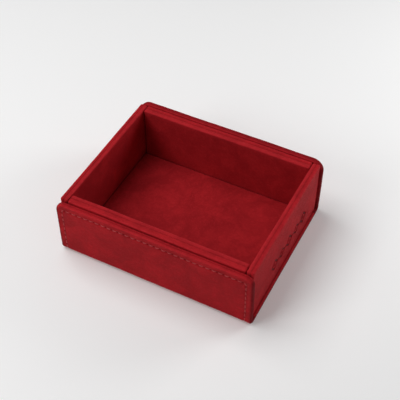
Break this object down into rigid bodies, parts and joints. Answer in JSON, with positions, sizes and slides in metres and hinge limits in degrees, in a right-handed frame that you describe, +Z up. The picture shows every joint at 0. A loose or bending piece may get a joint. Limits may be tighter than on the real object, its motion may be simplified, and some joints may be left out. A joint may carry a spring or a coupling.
{
  "type": "folding dice tray",
  "caption": "Shallow open leather-covered tray with stitched front and back covers; its four walls fold outwards flat on leather hinges.",
  "frame": {"origin": "centre of the footprint, on the underside of the base", "axes": "+X along the stitched covers, to the right; +Y from the front cover to the back cover; +Z up"},
  "size_m": [0.107, 0.086, 0.0356],
  "materials": {
    "outer_leather": "deep red suede-finish leather, matt",
    "lining_leather": "deep red soft lining leather, matt",
    "grey_board": "raw grey bookbinder's board",
    "stitching_thread": "waxed red thread, slightly lighter than the leather",
    "nickel_magnet": "nickel-plated bar magnet"
  },
  "bodies": {
    "base": {"back_hinge_leather": "outer_leather", "base_backing": "outer_leather", "base_leather": "outer_leather", "floor_board": "grey_board", "floor_lining": "lining_leather", "front_hinge_leather": "outer_leather", "left_hinge_leather": "outer_leather", "right_hinge_leather": "outer_leather"},
    "front_wall": {"front_cover_backing": "outer_leather", "front_cover_board": "grey_board", "front_cover_leather": "outer_leather", "front_left_magnet": "nickel_magnet", "front_lining": "lining_leather", "front_lining_board": "grey_board", "front_right_magnet": "nickel_magnet", "front_stitching": "stitching_thread", "front_wall_board": "grey_board", "front_wall_leather": "outer_leather"},
    "back_wall": {"back_cover_backing": "outer_leather", "back_cover_board": "grey_board", "back_cover_leather": "outer_leather", "back_left_magnet": "nickel_magnet", "back_lining": "lining_leather", "back_lining_board": "grey_board", "back_right_magnet": "nickel_magnet", "back_stitching": "stitching_thread", "back_wall_board": "grey_board", "back_wall_leather": "outer_leather"},
    "left_wall": {"left_back_magnet": "nickel_magnet", "left_front_magnet": "nickel_magnet", "left_lining": "lining_leather", "left_lining_board": "grey_board", "left_wall_board": "grey_board", "left_wall_leather": "outer_leather"},
    "right_wall": {"right_back_magnet": "nickel_magnet", "right_front_magnet": "nickel_magnet", "right_lining": "lining_leather", "right_lining_board": "grey_board", "right_wall_board": "grey_board", "right_wall_leather": "outer_leather"}
  },
  "joints": [
    {"name": "front_fold", "type": "hinge", "parent": "base", "child": "front_wall", "pos_m": [0, -0.04236, 0.00064], "axis": [1, 0, 0], "range_deg": [0, 90]},
    {"name": "back_fold", "type": "hinge", "parent": "base", "child": "back_wall", "pos_m": [0, 0.04236, 0.00064], "axis": [-1, 0, 0], "range_deg": [0, 90]},
    {"name": "right_fold", "type": "hinge", "parent": "base", "child": "right_wall", "pos_m": [0.0522, 0, 0.0021], "axis": [0, 1, 0], "range_deg": [0, 93]},
    {"name": "left_fold", "type": "hinge", "parent": "base", "child": "left_wall", "pos_m": [-0.0522, 0, 0.0021], "axis": [0, -1, 0], "range_deg": [0, 93]}
  ]
}
